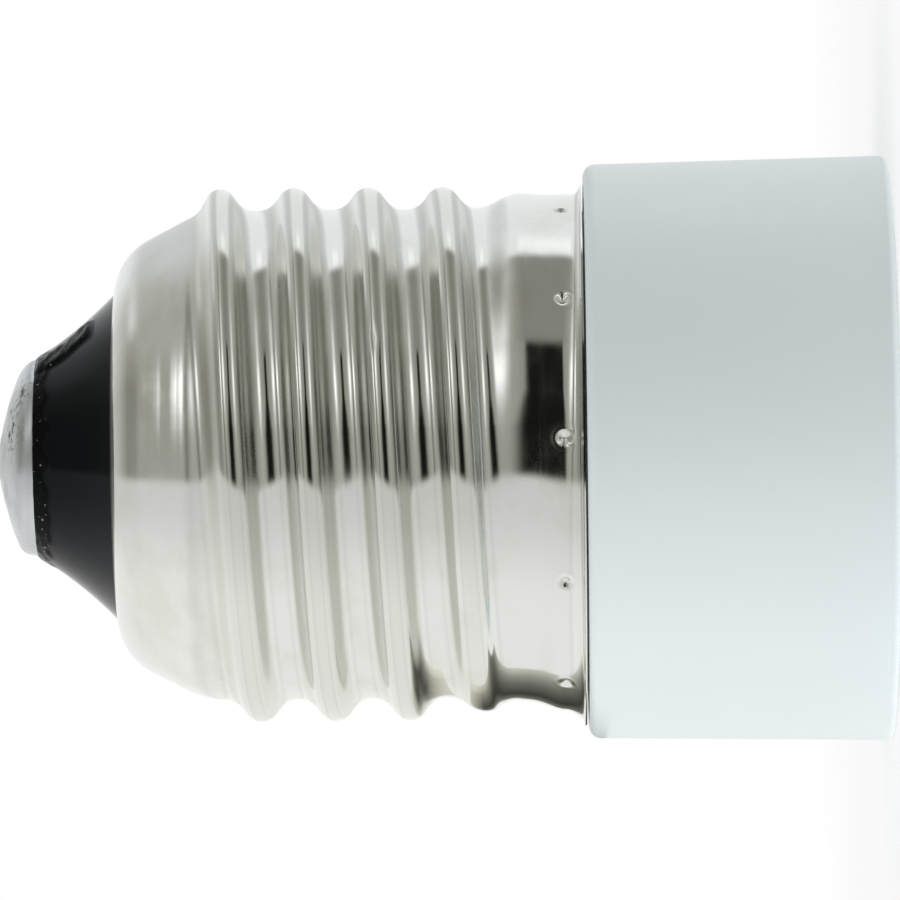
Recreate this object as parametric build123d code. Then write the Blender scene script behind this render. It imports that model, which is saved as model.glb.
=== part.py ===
"""Lamp socket adapter: a screw cap of the 27 mm size on a white drum that holds a 14 mm lamp socket.

Sizes are millimetres. The drum's open rim lies on z = 0, centred on the origin, and +Z runs along
the axis through the screw cap to its tip contact.
"""

import os
from math import asin, atan, ceil, cos, degrees, hypot, sin, sqrt, tau

from build123d import *

# Drum and neck, moulded in one piece
RIM_R = 14.28
BACK_R = 14.01
DRUM_H = 14.83
RIM_ROUND = 0.4
BACK_ROUND = 0.6
MOUTH_R = 9.2
MOUTH_DEPTH = 6.0
MOUTH_CHAMFER = 0.8
BORE_R = 7.8
FLOOR_Z = 21.0
FLOOR_T = 2.0
NECK_H = 10.6
NECK_GAP = 0.1
NECK_CHAMFER = 0.5
LAND_STEP = 0.2
PUNCH_GROOVE_H = 1.9
DISH_R = 9.4

# Screw cap: one sheet with a flared lip, a skirt, a rolled thread and a shoulder
SHEET = 0.3
SKIRT_R = 12.38
LIP_FLARE = 0.75
LIP_GAP = 0.1
SKIRT_H = 1.57
CAP_PITCH = 3.629
CAP_DEPTH = 1.095
CAP_ROOT_R = 11.925
CREST_ROUNDNESS = 0.045
THREAD_H = 17.9
FIRST_CREST = 1.8
CREST_FADE = 1.7
START_RISE = 1.5
CORE_STEP = (2.0, 3.8)
RUN_OUT = (1.1, 5.2)
RUN_OUT_H = 1.8
SHOULDER_SLOPE = 0.52
SHOULDER_H = 1.7
SHOULDER_ROUND = 3.05
CAP_HOLE_R = 8.0

# Punch marks that fix the skirt to the neck
PUNCHES = 11
PUNCH_R = 0.5
PUNCH_DEPTH = 0.25
PUNCH_TURN = 273.2
PUNCH_RISE = -0.15

# Glass insulator of the cap
GLASS_TOP_R = 4.85
GLASS_RISE = 3.88
GLASS_HOLLOW = 0.15
GLASS_RIM_H = 0.9
GLASS_DISH_R = 2.4
GLASS_DISH_H = 2.7

# Tip contact, an eyelet with a domed flange, and its drop of solder
TIP_R = 4.8
TIP_H = 1.83
TIP_DOME_R = 10.0
TIP_ROUND = 0.9
TIP_SHEET = 0.4
EYELET_R = 1.3
EYELET_HOLE_R = 0.9
EYELET_OUT = 0.6
DROP_R = 1.9
DROP_RISE = 0.1
DROP_PLUG = 2.4

# Lamp socket: a sleeve with a lip sunk in the drum's ledge and a flange on the floor
SOCKET_R = 6.25
SOCKET_LIP_R = 8.6
SOCKET_BEND = 0.4
SOCKET_THREAD_H = 10.4
SOCKET_STEP = 0.4
FLANGE_HOLE_R = 4.5

# Sprung centre contact, a bent strip
LEAF_T = 0.4
LEAF_W = 2.8
LEAF_START = -3.6
LEAF_BEND_X = -1.3
LEAF_BEND_R = 0.6
LEAF_ANGLE = 28.0
LEAF_LENGTH = 3.0
LEAF_TIP_R = 1.0

# Rivets
CENTRE_RIVET_X = -2.5
CENTRE_RIVET_R = 0.7
CENTRE_HEAD_R = 0.95
SHELL_RIVET_Y = 5.35
SHELL_RIVET_R = 0.5
SHELL_HEAD_R = 0.8
HEAD_H = 0.45
RIVET_GAP = 0.03

# Strap from the socket to the cap, and the wire from the centre contact to the tip
STRAP_T = 0.3
STRAP_W = 3.0
STRAP_BEND = 0.45
STRAP_START = 4.4
STRAP_LEG = 4.4
SLOT_GAP = 0.15
WIRE_R = 0.75
CORE_R = 0.35
WIRE_END = 1.2
WIRE_BEND = 3.0
WIRE_RISE = 2.5
WIRE_SLANT = 6.0
JOINT_R = 0.8
JOINT_H = 0.9

# Places along the axis that follow from the sizes above
CAP_Z = DRUM_H + LIP_GAP
THREAD_Z = CAP_Z + SKIRT_H
SHOULDER_Z = THREAD_Z + THREAD_H
FLOOR_TOP = FLOOR_Z + FLOOR_T
NECK_TOP = DRUM_H + NECK_H
SHOULDER_ANGLE = atan(SHOULDER_SLOPE)
CORNER_R = CAP_ROOT_R - SHOULDER_SLOPE * (FIRST_CREST / 2 + SHOULDER_H)
CORNER_Z = SHOULDER_Z + SHOULDER_H
ARC_R = CORNER_R - SHOULDER_ROUND * cos(SHOULDER_ANGLE)
ARC_Z = CORNER_Z - SHOULDER_ROUND * sin(SHOULDER_ANGLE)
CAP_END = ARC_Z + sqrt(SHOULDER_ROUND**2 - (CAP_HOLE_R - ARC_R) ** 2)
GLASS_TOP = CAP_END + GLASS_RISE
TIP_TOP = GLASS_TOP + TIP_H
EYELET_Z = CORNER_Z - GLASS_RIM_H + GLASS_DISH_H - EYELET_OUT

# How finely the thread is sampled: round a half turn, and along one pitch
HALF_TURN_POINTS = 6
PITCH_SECTIONS = 12
NUDGE = 1e-4
JOIN = 5e-3

STANDING = (Align.CENTER, Align.CENTER, Align.MIN)
HANGING = (Align.CENTER, Align.CENTER, Align.MAX)


def ramp(x, start, end):
    """Rise smoothly from 0 at start to 1 at end."""
    t = min(1, max(0, (x - start) / (end - start)))
    return t**3 * (10 - 15 * t + 6 * t**2)


def turned(*outline):
    """Spin a closed outline of curves, drawn as radius and height, about the axis."""
    return revolve(Plane.XZ * make_face(outline), Axis.Z)


def arc_point(centre, radius, level):
    """Point of a circle about a centre at a given distance from the axis, on its upper side."""
    return (level, centre[1] + sqrt(radius**2 - (level - centre[0]) ** 2))


def cap_radius(turn, z):
    """Outer radius of the threaded stretch: a plain core plus a ridge that fades out at both ends."""
    crest = SHOULDER_Z - FIRST_CREST + CAP_PITCH * turn
    crest += CAP_PITCH * round((z - crest) / CAP_PITCH)
    phase = tau * (z - crest) / CAP_PITCH
    wave = 1 + (1 + CREST_ROUNDNESS) * cos(phase) - CREST_ROUNDNESS * cos(3 * phase)
    run_out = ramp(crest - THREAD_Z, *RUN_OUT) * ramp(z - THREAD_Z, 0, RUN_OUT_H)
    below = SHOULDER_Z - z
    start = ramp(crest - SHOULDER_Z, CREST_FADE - FIRST_CREST, -FIRST_CREST) * ramp(below, 0, START_RISE)
    core = CAP_ROOT_R + (SKIRT_R - CAP_ROOT_R) * (1 - ramp(z - THREAD_Z, *CORE_STEP))
    core -= SHOULDER_SLOPE * max(0, FIRST_CREST - below) ** 2 / (2 * FIRST_CREST)
    return core + run_out * start * CAP_DEPTH / 2 * wave


def cap_inner_radius(turn, z):
    """Inner radius of the threaded stretch, one sheet thickness inside the outer face."""
    low = max(THREAD_Z, z - NUDGE)
    high = min(SHOULDER_Z, z + NUDGE)
    slope = (cap_radius(turn, high) - cap_radius(turn, low)) / (high - low)
    return cap_radius(turn, z) - SHEET * hypot(1, slope)


def thread_section(radius, z):
    """Closed curve of the threaded stretch at one height, as two smooth halves."""

    def point(turn):
        return Vector(radius(turn, z) * cos(tau * turn), radius(turn, z) * sin(tau * turn), z)

    halves = []
    for half in (0, 1):
        turns = [(half + i / HALF_TURN_POINTS) / 2 for i in range(HALF_TURN_POINTS + 1)]
        ends = [(point(t + NUDGE) - point(t - NUDGE)) / (2 * NUDGE) for t in (turns[0], turns[-1])]
        halves.append(Edge.make_spline(map(point, turns), ends, parameters=turns, scale=False))
    return Wire(halves)


def thread_solid(radius):
    """Solid through all sections of the threaded stretch."""
    count = ceil(THREAD_H / CAP_PITCH * PITCH_SECTIONS)
    heights = [THREAD_Z + THREAD_H * i / count for i in range(count + 1)]
    return Solid.make_loft([thread_section(radius, z) for z in heights])


def cap_skirt():
    """Lip and skirt below the thread, with the ring of punch marks."""
    centre = (SKIRT_R + LIP_FLARE, CAP_Z + SHEET + LIP_FLARE)
    inside = SKIRT_R - SHEET
    skirt = turned(
        Line((SKIRT_R, THREAD_Z), (SKIRT_R, centre[1])),
        CenterArc(centre, LIP_FLARE, 180, 90),
        Line((centre[0], CAP_Z + SHEET), (centre[0], CAP_Z)),
        CenterArc(centre, LIP_FLARE + SHEET, 180, 90),
        Line((inside, centre[1]), (inside, THREAD_Z)),
        Line((inside, THREAD_Z), (SKIRT_R, THREAD_Z)),
    )
    core = rod(SKIRT_R - SHEET / 2, CAP_Z, THREAD_Z)
    ring = [
        Rot(Z=PUNCH_TURN + 360 * i / PUNCHES)
        * Pos(SKIRT_R + PUNCH_R - PUNCH_DEPTH, 0, centre[1] + PUNCH_RISE)
        for i in range(PUNCHES)
    ]
    skirt += [place * Sphere(PUNCH_R + SHEET) & core for place in ring]
    return skirt - [place * Sphere(PUNCH_R) for place in ring]


def cap_shoulder():
    """Sloping shoulder that turns in over the glass."""
    outer = Vector(CORNER_R, CORNER_Z)
    inner = outer - SHEET * Vector(cos(SHOULDER_ANGLE), sin(SHOULDER_ANGLE))
    rise = Vector(-SHOULDER_SLOPE, 1)
    foot = outer - rise * SHOULDER_H
    inner_foot = inner - rise * (inner.Y - SHOULDER_Z)
    centre = (ARC_R, ARC_Z)
    return turned(
        Line(foot, outer),
        TangentArc(outer, arc_point(centre, SHOULDER_ROUND, CAP_HOLE_R), tangent=rise),
        Line(
            arc_point(centre, SHOULDER_ROUND, CAP_HOLE_R),
            arc_point(centre, SHOULDER_ROUND - SHEET, CAP_HOLE_R),
        ),
        TangentArc(inner, arc_point(centre, SHOULDER_ROUND - SHEET, CAP_HOLE_R), tangent=rise),
        Line(inner, inner_foot),
        Line(inner_foot, foot),
    )


def cap_shell():
    """Screw cap of thin sheet."""
    thread = thread_solid(cap_radius) - thread_solid(cap_inner_radius)
    return thread.fuse(cap_skirt(), cap_shoulder(), tol=JOIN)


def cap_insulator():
    """Black glass that fills the shoulder and carries the tip contact."""
    centre = (ARC_R, ARC_Z)
    inside = SHOULDER_ROUND - SHEET
    corner = Vector(CORNER_R, CORNER_Z) - SHEET * Vector(cos(SHOULDER_ANGLE), sin(SHOULDER_ANGLE))
    foot = corner + GLASS_RIM_H * Vector(SHOULDER_SLOPE, -1)
    throat = arc_point(centre, inside, CAP_HOLE_R)
    seat = (GLASS_TOP_R, GLASS_TOP)
    dish = (GLASS_DISH_R, foot.Y + GLASS_DISH_H)
    glass = turned(
        Line(foot, corner),
        TangentArc(corner, throat, tangent=(-SHOULDER_SLOPE, 1)),
        Line(throat, (CAP_HOLE_R, CAP_END)),
        SagittaArc((CAP_HOLE_R, CAP_END), seat, GLASS_HOLLOW),
        Line(seat, (0, GLASS_TOP)),
        Line((0, GLASS_TOP), (0, dish[1])),
        Line((0, dish[1]), dish),
        Line(dish, foot),
    )
    return glass + tip_dome(TIP_SHEET) - rod(EYELET_R, EYELET_Z, TIP_TOP)


def dome_arc(top, radius, reach):
    """Arc of a dome from a distance off the axis up to its top on the axis."""
    angle = degrees(asin(reach / radius))
    return CenterArc((0, top - radius), radius, 90 - angle, angle)


def tip_dome(inset):
    """Solid under the dome of the tip contact, drawn in by an inset."""
    top = TIP_TOP - inset
    reach = TIP_R - inset
    dome = dome_arc(top, TIP_DOME_R - inset, reach)
    face = make_face(
        [
            Line((0, GLASS_TOP), (reach, GLASS_TOP)),
            Line((reach, GLASS_TOP), dome @ 0),
            dome,
            Line(dome @ 1, (0, GLASS_TOP)),
        ]
    )
    corner = face.vertices().sort_by_distance(dome @ 0)[0]
    return revolve(Plane.XZ * fillet(corner, TIP_ROUND - inset), Axis.Z)


def rod(radius, low, high):
    """Round rod on the axis."""
    return Pos(Z=low) * Cylinder(radius, high - low, align=STANDING)


def cap_contact():
    """Tip contact: a domed flange with a hollow stem through the glass."""
    flange = tip_dome(0) - tip_dome(TIP_SHEET)
    stem = rod(EYELET_R, EYELET_Z, TIP_TOP - TIP_SHEET / 2)
    return flange + stem - rod(EYELET_HOLE_R, EYELET_Z, TIP_TOP)


def tip_solder():
    """Drop of solder that closes the eyelet over the end of the wire."""
    under = dome_arc(TIP_TOP, TIP_DOME_R, DROP_R)
    crown = TIP_TOP + DROP_RISE
    height = crown - (under @ 0).Y
    over = dome_arc(crown, (DROP_R**2 + height**2) / (2 * height), DROP_R)
    mound = turned(under, over, Line(under @ 1, over @ 1))
    return mound + rod(EYELET_HOLE_R, TIP_TOP - DROP_PLUG, TIP_TOP) - live_wire()


def adapter_body():
    """Drum, neck and socket floor in one moulding, with holes for the rivets and a slot for the strap.

    The neck goes in through the skirt, which sits on a land at its foot.
    """
    groove_r = SKIRT_R - SHEET - PUNCH_DEPTH - NECK_GAP
    land_r = SKIRT_R - SHEET - NECK_GAP
    neck_r = min(land_r - LAND_STEP, CAP_ROOT_R - SHEET - NECK_GAP)
    groove_top = DRUM_H + PUNCH_GROOVE_H
    land_top = THREAD_Z + CORE_STEP[0]
    corners = [
        (MOUTH_R + MOUTH_CHAMFER, 0),
        (RIM_R, 0),
        (BACK_R, DRUM_H),
        (groove_r, DRUM_H),
        (groove_r, groove_top),
        (land_r, groove_top),
        (land_r, land_top),
        (neck_r, land_top),
        (neck_r, NECK_TOP - NECK_CHAMFER),
        (neck_r - NECK_CHAMFER, NECK_TOP),
        (DISH_R, NECK_TOP),
        (DISH_R, FLOOR_TOP),
        (0, FLOOR_TOP),
        (0, FLOOR_Z),
        (BORE_R, FLOOR_Z),
        (BORE_R, MOUTH_DEPTH),
        (SOCKET_LIP_R + SLOT_GAP, MOUTH_DEPTH),
        (SOCKET_LIP_R + SLOT_GAP, MOUTH_DEPTH - SHEET),
        (MOUTH_R, MOUTH_DEPTH - SHEET),
        (MOUTH_R, MOUTH_CHAMFER),
    ]
    face = make_face(Polyline(*corners, close=True))
    face = fillet(face.vertices().sort_by_distance((RIM_R, 0))[0], RIM_ROUND)
    face = fillet(face.vertices().sort_by_distance((BACK_R, DRUM_H))[0], BACK_ROUND)
    body = revolve(Plane.XZ * face, Axis.Z)
    body -= Pos(CENTRE_RIVET_X, 0, FLOOR_Z) * rivet_hole(CENTRE_RIVET_R)
    body -= [Pos(0, side * SHELL_RIVET_Y, FLOOR_Z) * rivet_hole(SHELL_RIVET_R) for side in (-1, 1)]
    leg = strap_leg_y() - STRAP_T / 2 - SLOT_GAP
    outward = (Align.CENTER, Align.MIN, Align.MAX)
    slot = Box(STRAP_W + 2 * SLOT_GAP, neck_r, STRAP_LEG + SLOT_GAP, align=outward)
    return body - Pos(0, leg, NECK_TOP) * slot


def rivet_hole(radius):
    """Hole through the floor, or through a sheet that lies on it, with a little play."""
    return Cylinder(radius + RIVET_GAP, 2 * FLOOR_T)


def rivet(radius, head_r, grip):
    """Rivet with a rounded head below z = 0 and its clinched tail at the end of its grip."""
    head = Cylinder(head_r, HEAD_H, align=HANGING)
    head = fillet(head.edges().sort_by(Axis.Z)[0], HEAD_H / 2)
    shank = Cylinder(radius, grip, align=STANDING)
    tail = Pos(Z=grip) * Cylinder(head_r, HEAD_H, align=STANDING)
    tail = chamfer(tail.edges().sort_by(Axis.Z)[-1], HEAD_H / 2)
    return head + shank + tail


def centre_rivet():
    """Rivet of the centre contact, hollow at the tail for the end of the wire."""
    solid = rivet(CENTRE_RIVET_R, CENTRE_HEAD_R, LEAF_T + FLOOR_T)
    return Pos(CENTRE_RIVET_X, 0, FLOOR_Z - LEAF_T) * solid - live_wire()


def shell_rivets():
    """The two rivets of the socket's flange, one of them also through the strap."""
    plain = rivet(SHELL_RIVET_R, SHELL_HEAD_R, SHEET + FLOOR_T)
    strapped = rivet(SHELL_RIVET_R, SHELL_HEAD_R, SHEET + FLOOR_T + STRAP_T)
    low = FLOOR_Z - SHEET
    return Compound([Pos(0, -SHELL_RIVET_Y, low) * plain, Pos(0, SHELL_RIVET_Y, low) * strapped])


def socket_shell():
    """Sleeve that the lamp screws into, with a wider base."""
    outer = SOCKET_R + SHEET
    base = SOCKET_R + SOCKET_STEP
    bend = (outer + SOCKET_BEND, MOUTH_DEPTH + SOCKET_BEND)
    lip = MOUTH_DEPTH - SHEET
    step = MOUTH_DEPTH + SOCKET_THREAD_H
    wide = step + SOCKET_STEP
    mitre = SHEET * (sqrt(2) - 1)
    top = FLOOR_Z - SHEET
    sleeve = turned(
        Line((SOCKET_LIP_R, lip), (bend[0], lip)),
        CenterArc(bend, SOCKET_BEND + SHEET, 180, 90),
        Polyline(
            (SOCKET_R, bend[1]),
            (SOCKET_R, step),
            (base, wide),
            (base, top),
            (FLANGE_HOLE_R, top),
            (FLANGE_HOLE_R, FLOOR_Z),
            (base, FLOOR_Z),
        ),
        CenterArc((base, top), SHEET, 0, 90),
        Polyline(
            (base + SHEET, top),
            (base + SHEET, wide - mitre),
            (outer, step - mitre),
            (outer, bend[1]),
        ),
        CenterArc(bend, SOCKET_BEND, 180, 90),
        Polyline((bend[0], MOUTH_DEPTH), (SOCKET_LIP_R, MOUTH_DEPTH), (SOCKET_LIP_R, lip)),
    )
    return sleeve - [Pos(0, side * SHELL_RIVET_Y, FLOOR_Z) * rivet_hole(SHELL_RIVET_R) for side in (-1, 1)]


def strip(path, thickness, width):
    """Flat strip of metal bent along a path."""
    start = Plane(path @ 0, x_dir=path.normal(), z_dir=path % 0)
    return sweep(start * Rectangle(width, thickness), path)


def centre_contact():
    """Sprung strip: a foot on the floor, a bend, and a tongue whose curved tip meets the lamp."""
    level = FLOOR_Z - LEAF_T / 2
    foot = Line((LEAF_START, level), (LEAF_BEND_X, level))
    bend = JernArc(foot @ 1, foot % 1, LEAF_BEND_R + LEAF_T / 2, -LEAF_ANGLE)
    tongue = PolarLine(bend @ 1, LEAF_LENGTH, -LEAF_ANGLE)
    tip = JernArc(tongue @ 1, tongue % 1, LEAF_TIP_R, 2 * LEAF_ANGLE)
    path = Plane.XZ * Wire([*foot.edges(), *bend.edges(), *tongue.edges(), *tip.edges()])
    return strip(path, LEAF_T, LEAF_W) - Pos(CENTRE_RIVET_X, 0, FLOOR_Z) * rivet_hole(CENTRE_RIVET_R)


def strap_leg_y():
    """Distance from the axis to the middle of the strap's leg, whose edges just clear the cap."""
    clear = CAP_ROOT_R - SHEET - NECK_GAP / 2
    return sqrt(clear**2 - (STRAP_W / 2) ** 2) - STRAP_T / 2


def neutral_strap():
    """Strap riveted to the socket, over the neck's end and down between neck and cap."""
    half = STRAP_T / 2
    wall = sqrt(DISH_R**2 - (STRAP_W / 2) ** 2) - STRAP_T
    leg = strap_leg_y()
    path = FilletPolyline(
        (STRAP_START, FLOOR_TOP + half),
        (wall, FLOOR_TOP + half),
        (wall, NECK_TOP + half),
        (leg, NECK_TOP + half),
        (leg, NECK_TOP - STRAP_LEG),
        radius=STRAP_BEND,
    )
    strap = strip(Plane.YZ * path, STRAP_T, STRAP_W)
    return strap - Pos(0, SHELL_RIVET_Y, FLOOR_TOP) * rivet_hole(SHELL_RIVET_R)


def live_wire():
    """Wire from the tail of the centre rivet to the tip, bare at both ends."""
    low = FLOOR_TOP + HEAD_H + JOINT_H
    route = FilletPolyline(
        (CENTRE_RIVET_X, low),
        (CENTRE_RIVET_X, low + WIRE_RISE),
        (0, low + WIRE_RISE + WIRE_SLANT),
        (0, CORNER_Z),
        radius=WIRE_BEND,
    )
    path = Plane.XZ * route
    jacket = sweep(Plane(path @ 0, z_dir=path % 0) * Circle(WIRE_R), path)
    low_core = Pos(path @ 0) * Cylinder(CORE_R, JOINT_H + HEAD_H + WIRE_END, align=HANGING)
    return jacket + low_core + rod(CORE_R, CORNER_Z, TIP_TOP - WIRE_END)


def wire_solder():
    """Cone of solder that joins the wire to the rivet."""
    cone = Cone(JOINT_R, 2 * CORE_R, JOINT_H, align=STANDING)
    return Pos(CENTRE_RIVET_X, 0, FLOOR_TOP + HEAD_H) * cone - live_wire()


PIECES = [
    cap_shell,
    cap_insulator,
    cap_contact,
    tip_solder,
    adapter_body,
    socket_shell,
    centre_contact,
    centre_rivet,
    shell_rivets,
    neutral_strap,
    live_wire,
    wire_solder,
]

os.makedirs("parts", exist_ok=True)
for piece in PIECES:
    export_step(piece(), f"parts/{piece.__name__}.step")
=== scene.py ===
"""Lamp socket adapter: the looks of the screw cap, its glass and tip, the white drum and the lamp socket in it."""

import math

import bpy
import numpy as np
from mathutils import Matrix, Vector


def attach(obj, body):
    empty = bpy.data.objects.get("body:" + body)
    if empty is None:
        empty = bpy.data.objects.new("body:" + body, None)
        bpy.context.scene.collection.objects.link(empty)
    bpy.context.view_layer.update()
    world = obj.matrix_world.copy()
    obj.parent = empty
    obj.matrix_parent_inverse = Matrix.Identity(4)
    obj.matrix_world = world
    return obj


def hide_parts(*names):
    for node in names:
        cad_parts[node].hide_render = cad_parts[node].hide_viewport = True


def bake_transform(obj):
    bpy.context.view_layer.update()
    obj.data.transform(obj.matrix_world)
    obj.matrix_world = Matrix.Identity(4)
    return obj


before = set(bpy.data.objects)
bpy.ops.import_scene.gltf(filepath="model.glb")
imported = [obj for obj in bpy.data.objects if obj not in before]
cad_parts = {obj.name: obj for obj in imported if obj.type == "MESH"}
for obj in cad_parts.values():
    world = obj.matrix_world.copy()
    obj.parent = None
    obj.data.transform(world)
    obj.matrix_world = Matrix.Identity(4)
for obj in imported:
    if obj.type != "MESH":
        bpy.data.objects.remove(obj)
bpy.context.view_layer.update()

MM = 0.001
TAU = 2 * math.pi

# Sizes of the part, in millimetres
RIM_R, BACK_R, DRUM_H = 14.274, 14.01, 14.83
RIM_ROUND, BACK_ROUND = 0.4, 0.6
MOUTH_R, MOUTH_DEPTH, MOUTH_CHAMFER, BORE_R = 9.2, 6.0, 0.8, 7.8
FLOOR_Z, FLOOR_TOP, NECK_TOP = 21.0, 23.0, 25.43
NECK_GAP, NECK_CHAMFER, GROOVE_H, DISH_R, SLOT_GAP = 0.1, 0.5, 1.9, 9.4, 0.15
SHEET = 0.3
SKIRT_R, LIP_FLARE, SKIRT_H = 12.38, 0.75, 1.57
CAP_Z = DRUM_H + 0.1
THREAD_Z = CAP_Z + SKIRT_H
SHOULDER_Z = THREAD_Z + 17.9
CAP_PITCH, CAP_DEPTH, CAP_ROOT_R = 3.629, 1.095, 11.925
CREST_ROUND, ROOT_ROUND, FLANK_ANGLE = 0.8, 1.2, math.radians(54)
FIRST_CREST, CREST_FADE, START_RISE = 1.8, 1.7, 1.5
CORE_STEP, RUN_OUT, RUN_OUT_H = (0.7, 4.3), (0.2, 5.9), 1.8
SHOULDER_SLOPE, SHOULDER_H, SHOULDER_ROUND, CAP_HOLE_R = 0.52, 1.7, 3.05, 8.0
PUNCHES, PUNCH_DEPTH, PUNCH_TURN, PUNCH_RISE = 11, 0.25, 273.0, -0.05
GLASS_TOP_R, GLASS_RISE, GLASS_HOLLOW, GLASS_RIM_H = 4.85, 3.88, 0.15, 0.9
GLASS_DISH_R, GLASS_DISH_H = 2.4, 2.7
TIP_R, TIP_H, TIP_DOME_R, TIP_ROUND, TIP_SHEET = 4.8, 1.83, 10.0, 1.1, 0.4
EYELET_R, EYELET_HOLE_R = 1.3, 0.9
DROP_R, DROP_RISE = 1.9, 0.1
SOCKET_R, SOCKET_LIP_R, SOCKET_BEND, FLANGE_HOLE_R = 6.25, 8.6, 0.4, 4.5
SOCKET_THREAD_H, SOCKET_STEP, SOCKET_PITCH, SOCKET_DEPTH = 10.4, 0.4, 2.822, 0.8
LEAF_T, LEAF_W, LEAF_START, LEAF_BEND_X = 0.4, 2.8, -3.6, -1.3
LEAF_BEND_R, LEAF_ANGLE, LEAF_LENGTH, LEAF_TIP_R = 0.6, 28.0, 3.0, 1.0
LEAF_EDGE = 0.1
CENTRE_RIVET_X, CENTRE_RIVET_R = -2.5, 0.73
LAND_STEP, STEM_Z, DROP_STEM_H = 0.1, 37.3, 2.4

# Unevenness of the real pieces, in millimetres and degrees
SKIRT_SHIFT, LIP_OUT, LIP_IN, LIP_DROP = 0.2, 0.48, 0.35, 0.22
NICK_ANGLE, NICK_Z, NICK_DEPTH = 295, 24.95, 0.07
STREAK_ANGLE, STREAK_FOOT, STREAK_TOP = 332.5, (38.6, 39.0), (41.3, 41.6)
TIP_SHIFT, TIP_SHIFT_H = 0.22, 1.2
PIT_ANGLES = 297, 318

# Studio: rays that see its white, and the fades of the floor's white near the object as start and end in metres and
# least share of white: partly painted shade, greyer by distance, partly the real shadow showing through
SEEN_RAYS = "Is Camera Ray", "Is Glossy Ray", "Is Transmission Ray"
SHADOW_FADES = (0.03, 0.12, 0.78), (0.0142, 0.027, 0.78)
# ROOM_R and ROOM_Z: radius and middle height of the glowing room of painted reflections, in metres; DARKEST_TONE: its
# darkest painted tone
ROOM_R, ROOM_Z, LIT_Z = 0.4, 0.022, 0.02
DARKEST_TONE = 0.008
PICTURE_SIZE = 900

# Places along the axis that follow from them
SHOULDER_ANGLE = math.atan(SHOULDER_SLOPE)
CORNER_R = CAP_ROOT_R - SHOULDER_SLOPE * (FIRST_CREST / 2 + SHOULDER_H)
CORNER_Z = SHOULDER_Z + SHOULDER_H
ARC_R = CORNER_R - SHOULDER_ROUND * math.cos(SHOULDER_ANGLE)
ARC_Z = CORNER_Z - SHOULDER_ROUND * math.sin(SHOULDER_ANGLE)
CAP_END = ARC_Z + math.sqrt(SHOULDER_ROUND**2 - (CAP_HOLE_R - ARC_R) ** 2)
GLASS_TOP = CAP_END + GLASS_RISE
TIP_TOP = GLASS_TOP + TIP_H


def ramp(x, start, end):
    """Rise smoothly from 0 at start to 1 at end."""
    t = np.clip((x - start) / (end - start), 0, 1)
    return t**3 * (10 - 15 * t + 6 * t**2)


def bump(x, centre, width):
    """Bell curve of height 1."""
    return np.exp(-(((x - centre) / width) ** 2))


def turn_gap(a, b):
    """Signed difference of two angles in radians."""
    return (a - b + math.pi) % TAU - math.pi


def waves(angle, z, seed, count=7, lobes=6, pitch=1.2):
    """Gentle fixed unevenness round and along the axis, between about -1 and 1."""
    draw = np.random.default_rng(seed)
    total = np.zeros(np.broadcast(angle, z).shape)
    for _ in range(count):
        around = draw.integers(0, lobes + 1)
        along = draw.uniform(-pitch, pitch)
        total += np.sin(around * angle + along * z + draw.uniform(0, TAU)) * draw.uniform(0.5, 1)
    return total / math.sqrt(count)


def mesh_object(name, points, faces, material, smooth_angle=35):
    """New object from points in millimetres, smooth but for its sharp edges."""
    mesh = bpy.data.meshes.new(name)
    mesh.from_pydata((np.asarray(points, float) * MM).tolist(), [], faces)
    mesh.validate()
    mesh.materials.append(material)
    mesh.shade_smooth()
    mesh.set_sharp_from_angle(angle=math.radians(smooth_angle))
    obj = bpy.data.objects.new(name, mesh)
    bpy.context.scene.collection.objects.link(obj)
    return obj


def ring_faces(rows, columns):
    """Quads of a grid that closes both round the axis and along its outline."""
    row, column = np.meshgrid(np.arange(rows), np.arange(columns), indexing="ij")
    up, on = (row + 1) % rows, (column + 1) % columns
    quads = [row * columns + column, row * columns + on, up * columns + on, up * columns + column]
    return np.stack(quads, -1).reshape(-1, 4).tolist()


def turned_object(name, radius, height, angles, material, smooth_angle=35):
    """Closed ring through an outline whose radius and height may change round the axis: arrays of rows by columns."""
    x, y = radius * np.cos(angles), radius * np.sin(angles)
    points = np.stack([x, y, np.broadcast_to(height, x.shape)], -1)
    return mesh_object(name, points.reshape(-1, 3), ring_faces(*x.shape), material, smooth_angle)


def spun(rows, angles):
    """Radius and height of an outline at every angle."""
    count = angles.shape[1]
    return np.repeat(rows[:, :1], count, 1), np.repeat(rows[:, 1:], count, 1)


def arc(centre, radius, start, end, steps):
    """Points of an arc, with angles in degrees."""
    a = np.radians(np.linspace(start, end, steps))
    return np.stack([centre[0] + radius * np.cos(a), centre[1] + radius * np.sin(a)], -1)


def line(start, end, steps=2):
    """Points of a straight stretch."""
    return np.linspace(start, end, steps)


def outline(*stretches):
    """Join stretches of an outline, without doubled points."""
    points = np.concatenate([np.asarray(s, float).reshape(-1, 2) for s in stretches])
    far = np.linalg.norm(points - np.roll(points, 1, axis=0), axis=1) > 1e-5
    return points[far]


def set_attribute(obj, name, values):
    """Store one number per point, for the material to read."""
    attribute = obj.data.attributes.new(name, "FLOAT", "POINT")
    attribute.data.foreach_set("value", np.asarray(values, np.float32).ravel())


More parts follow.
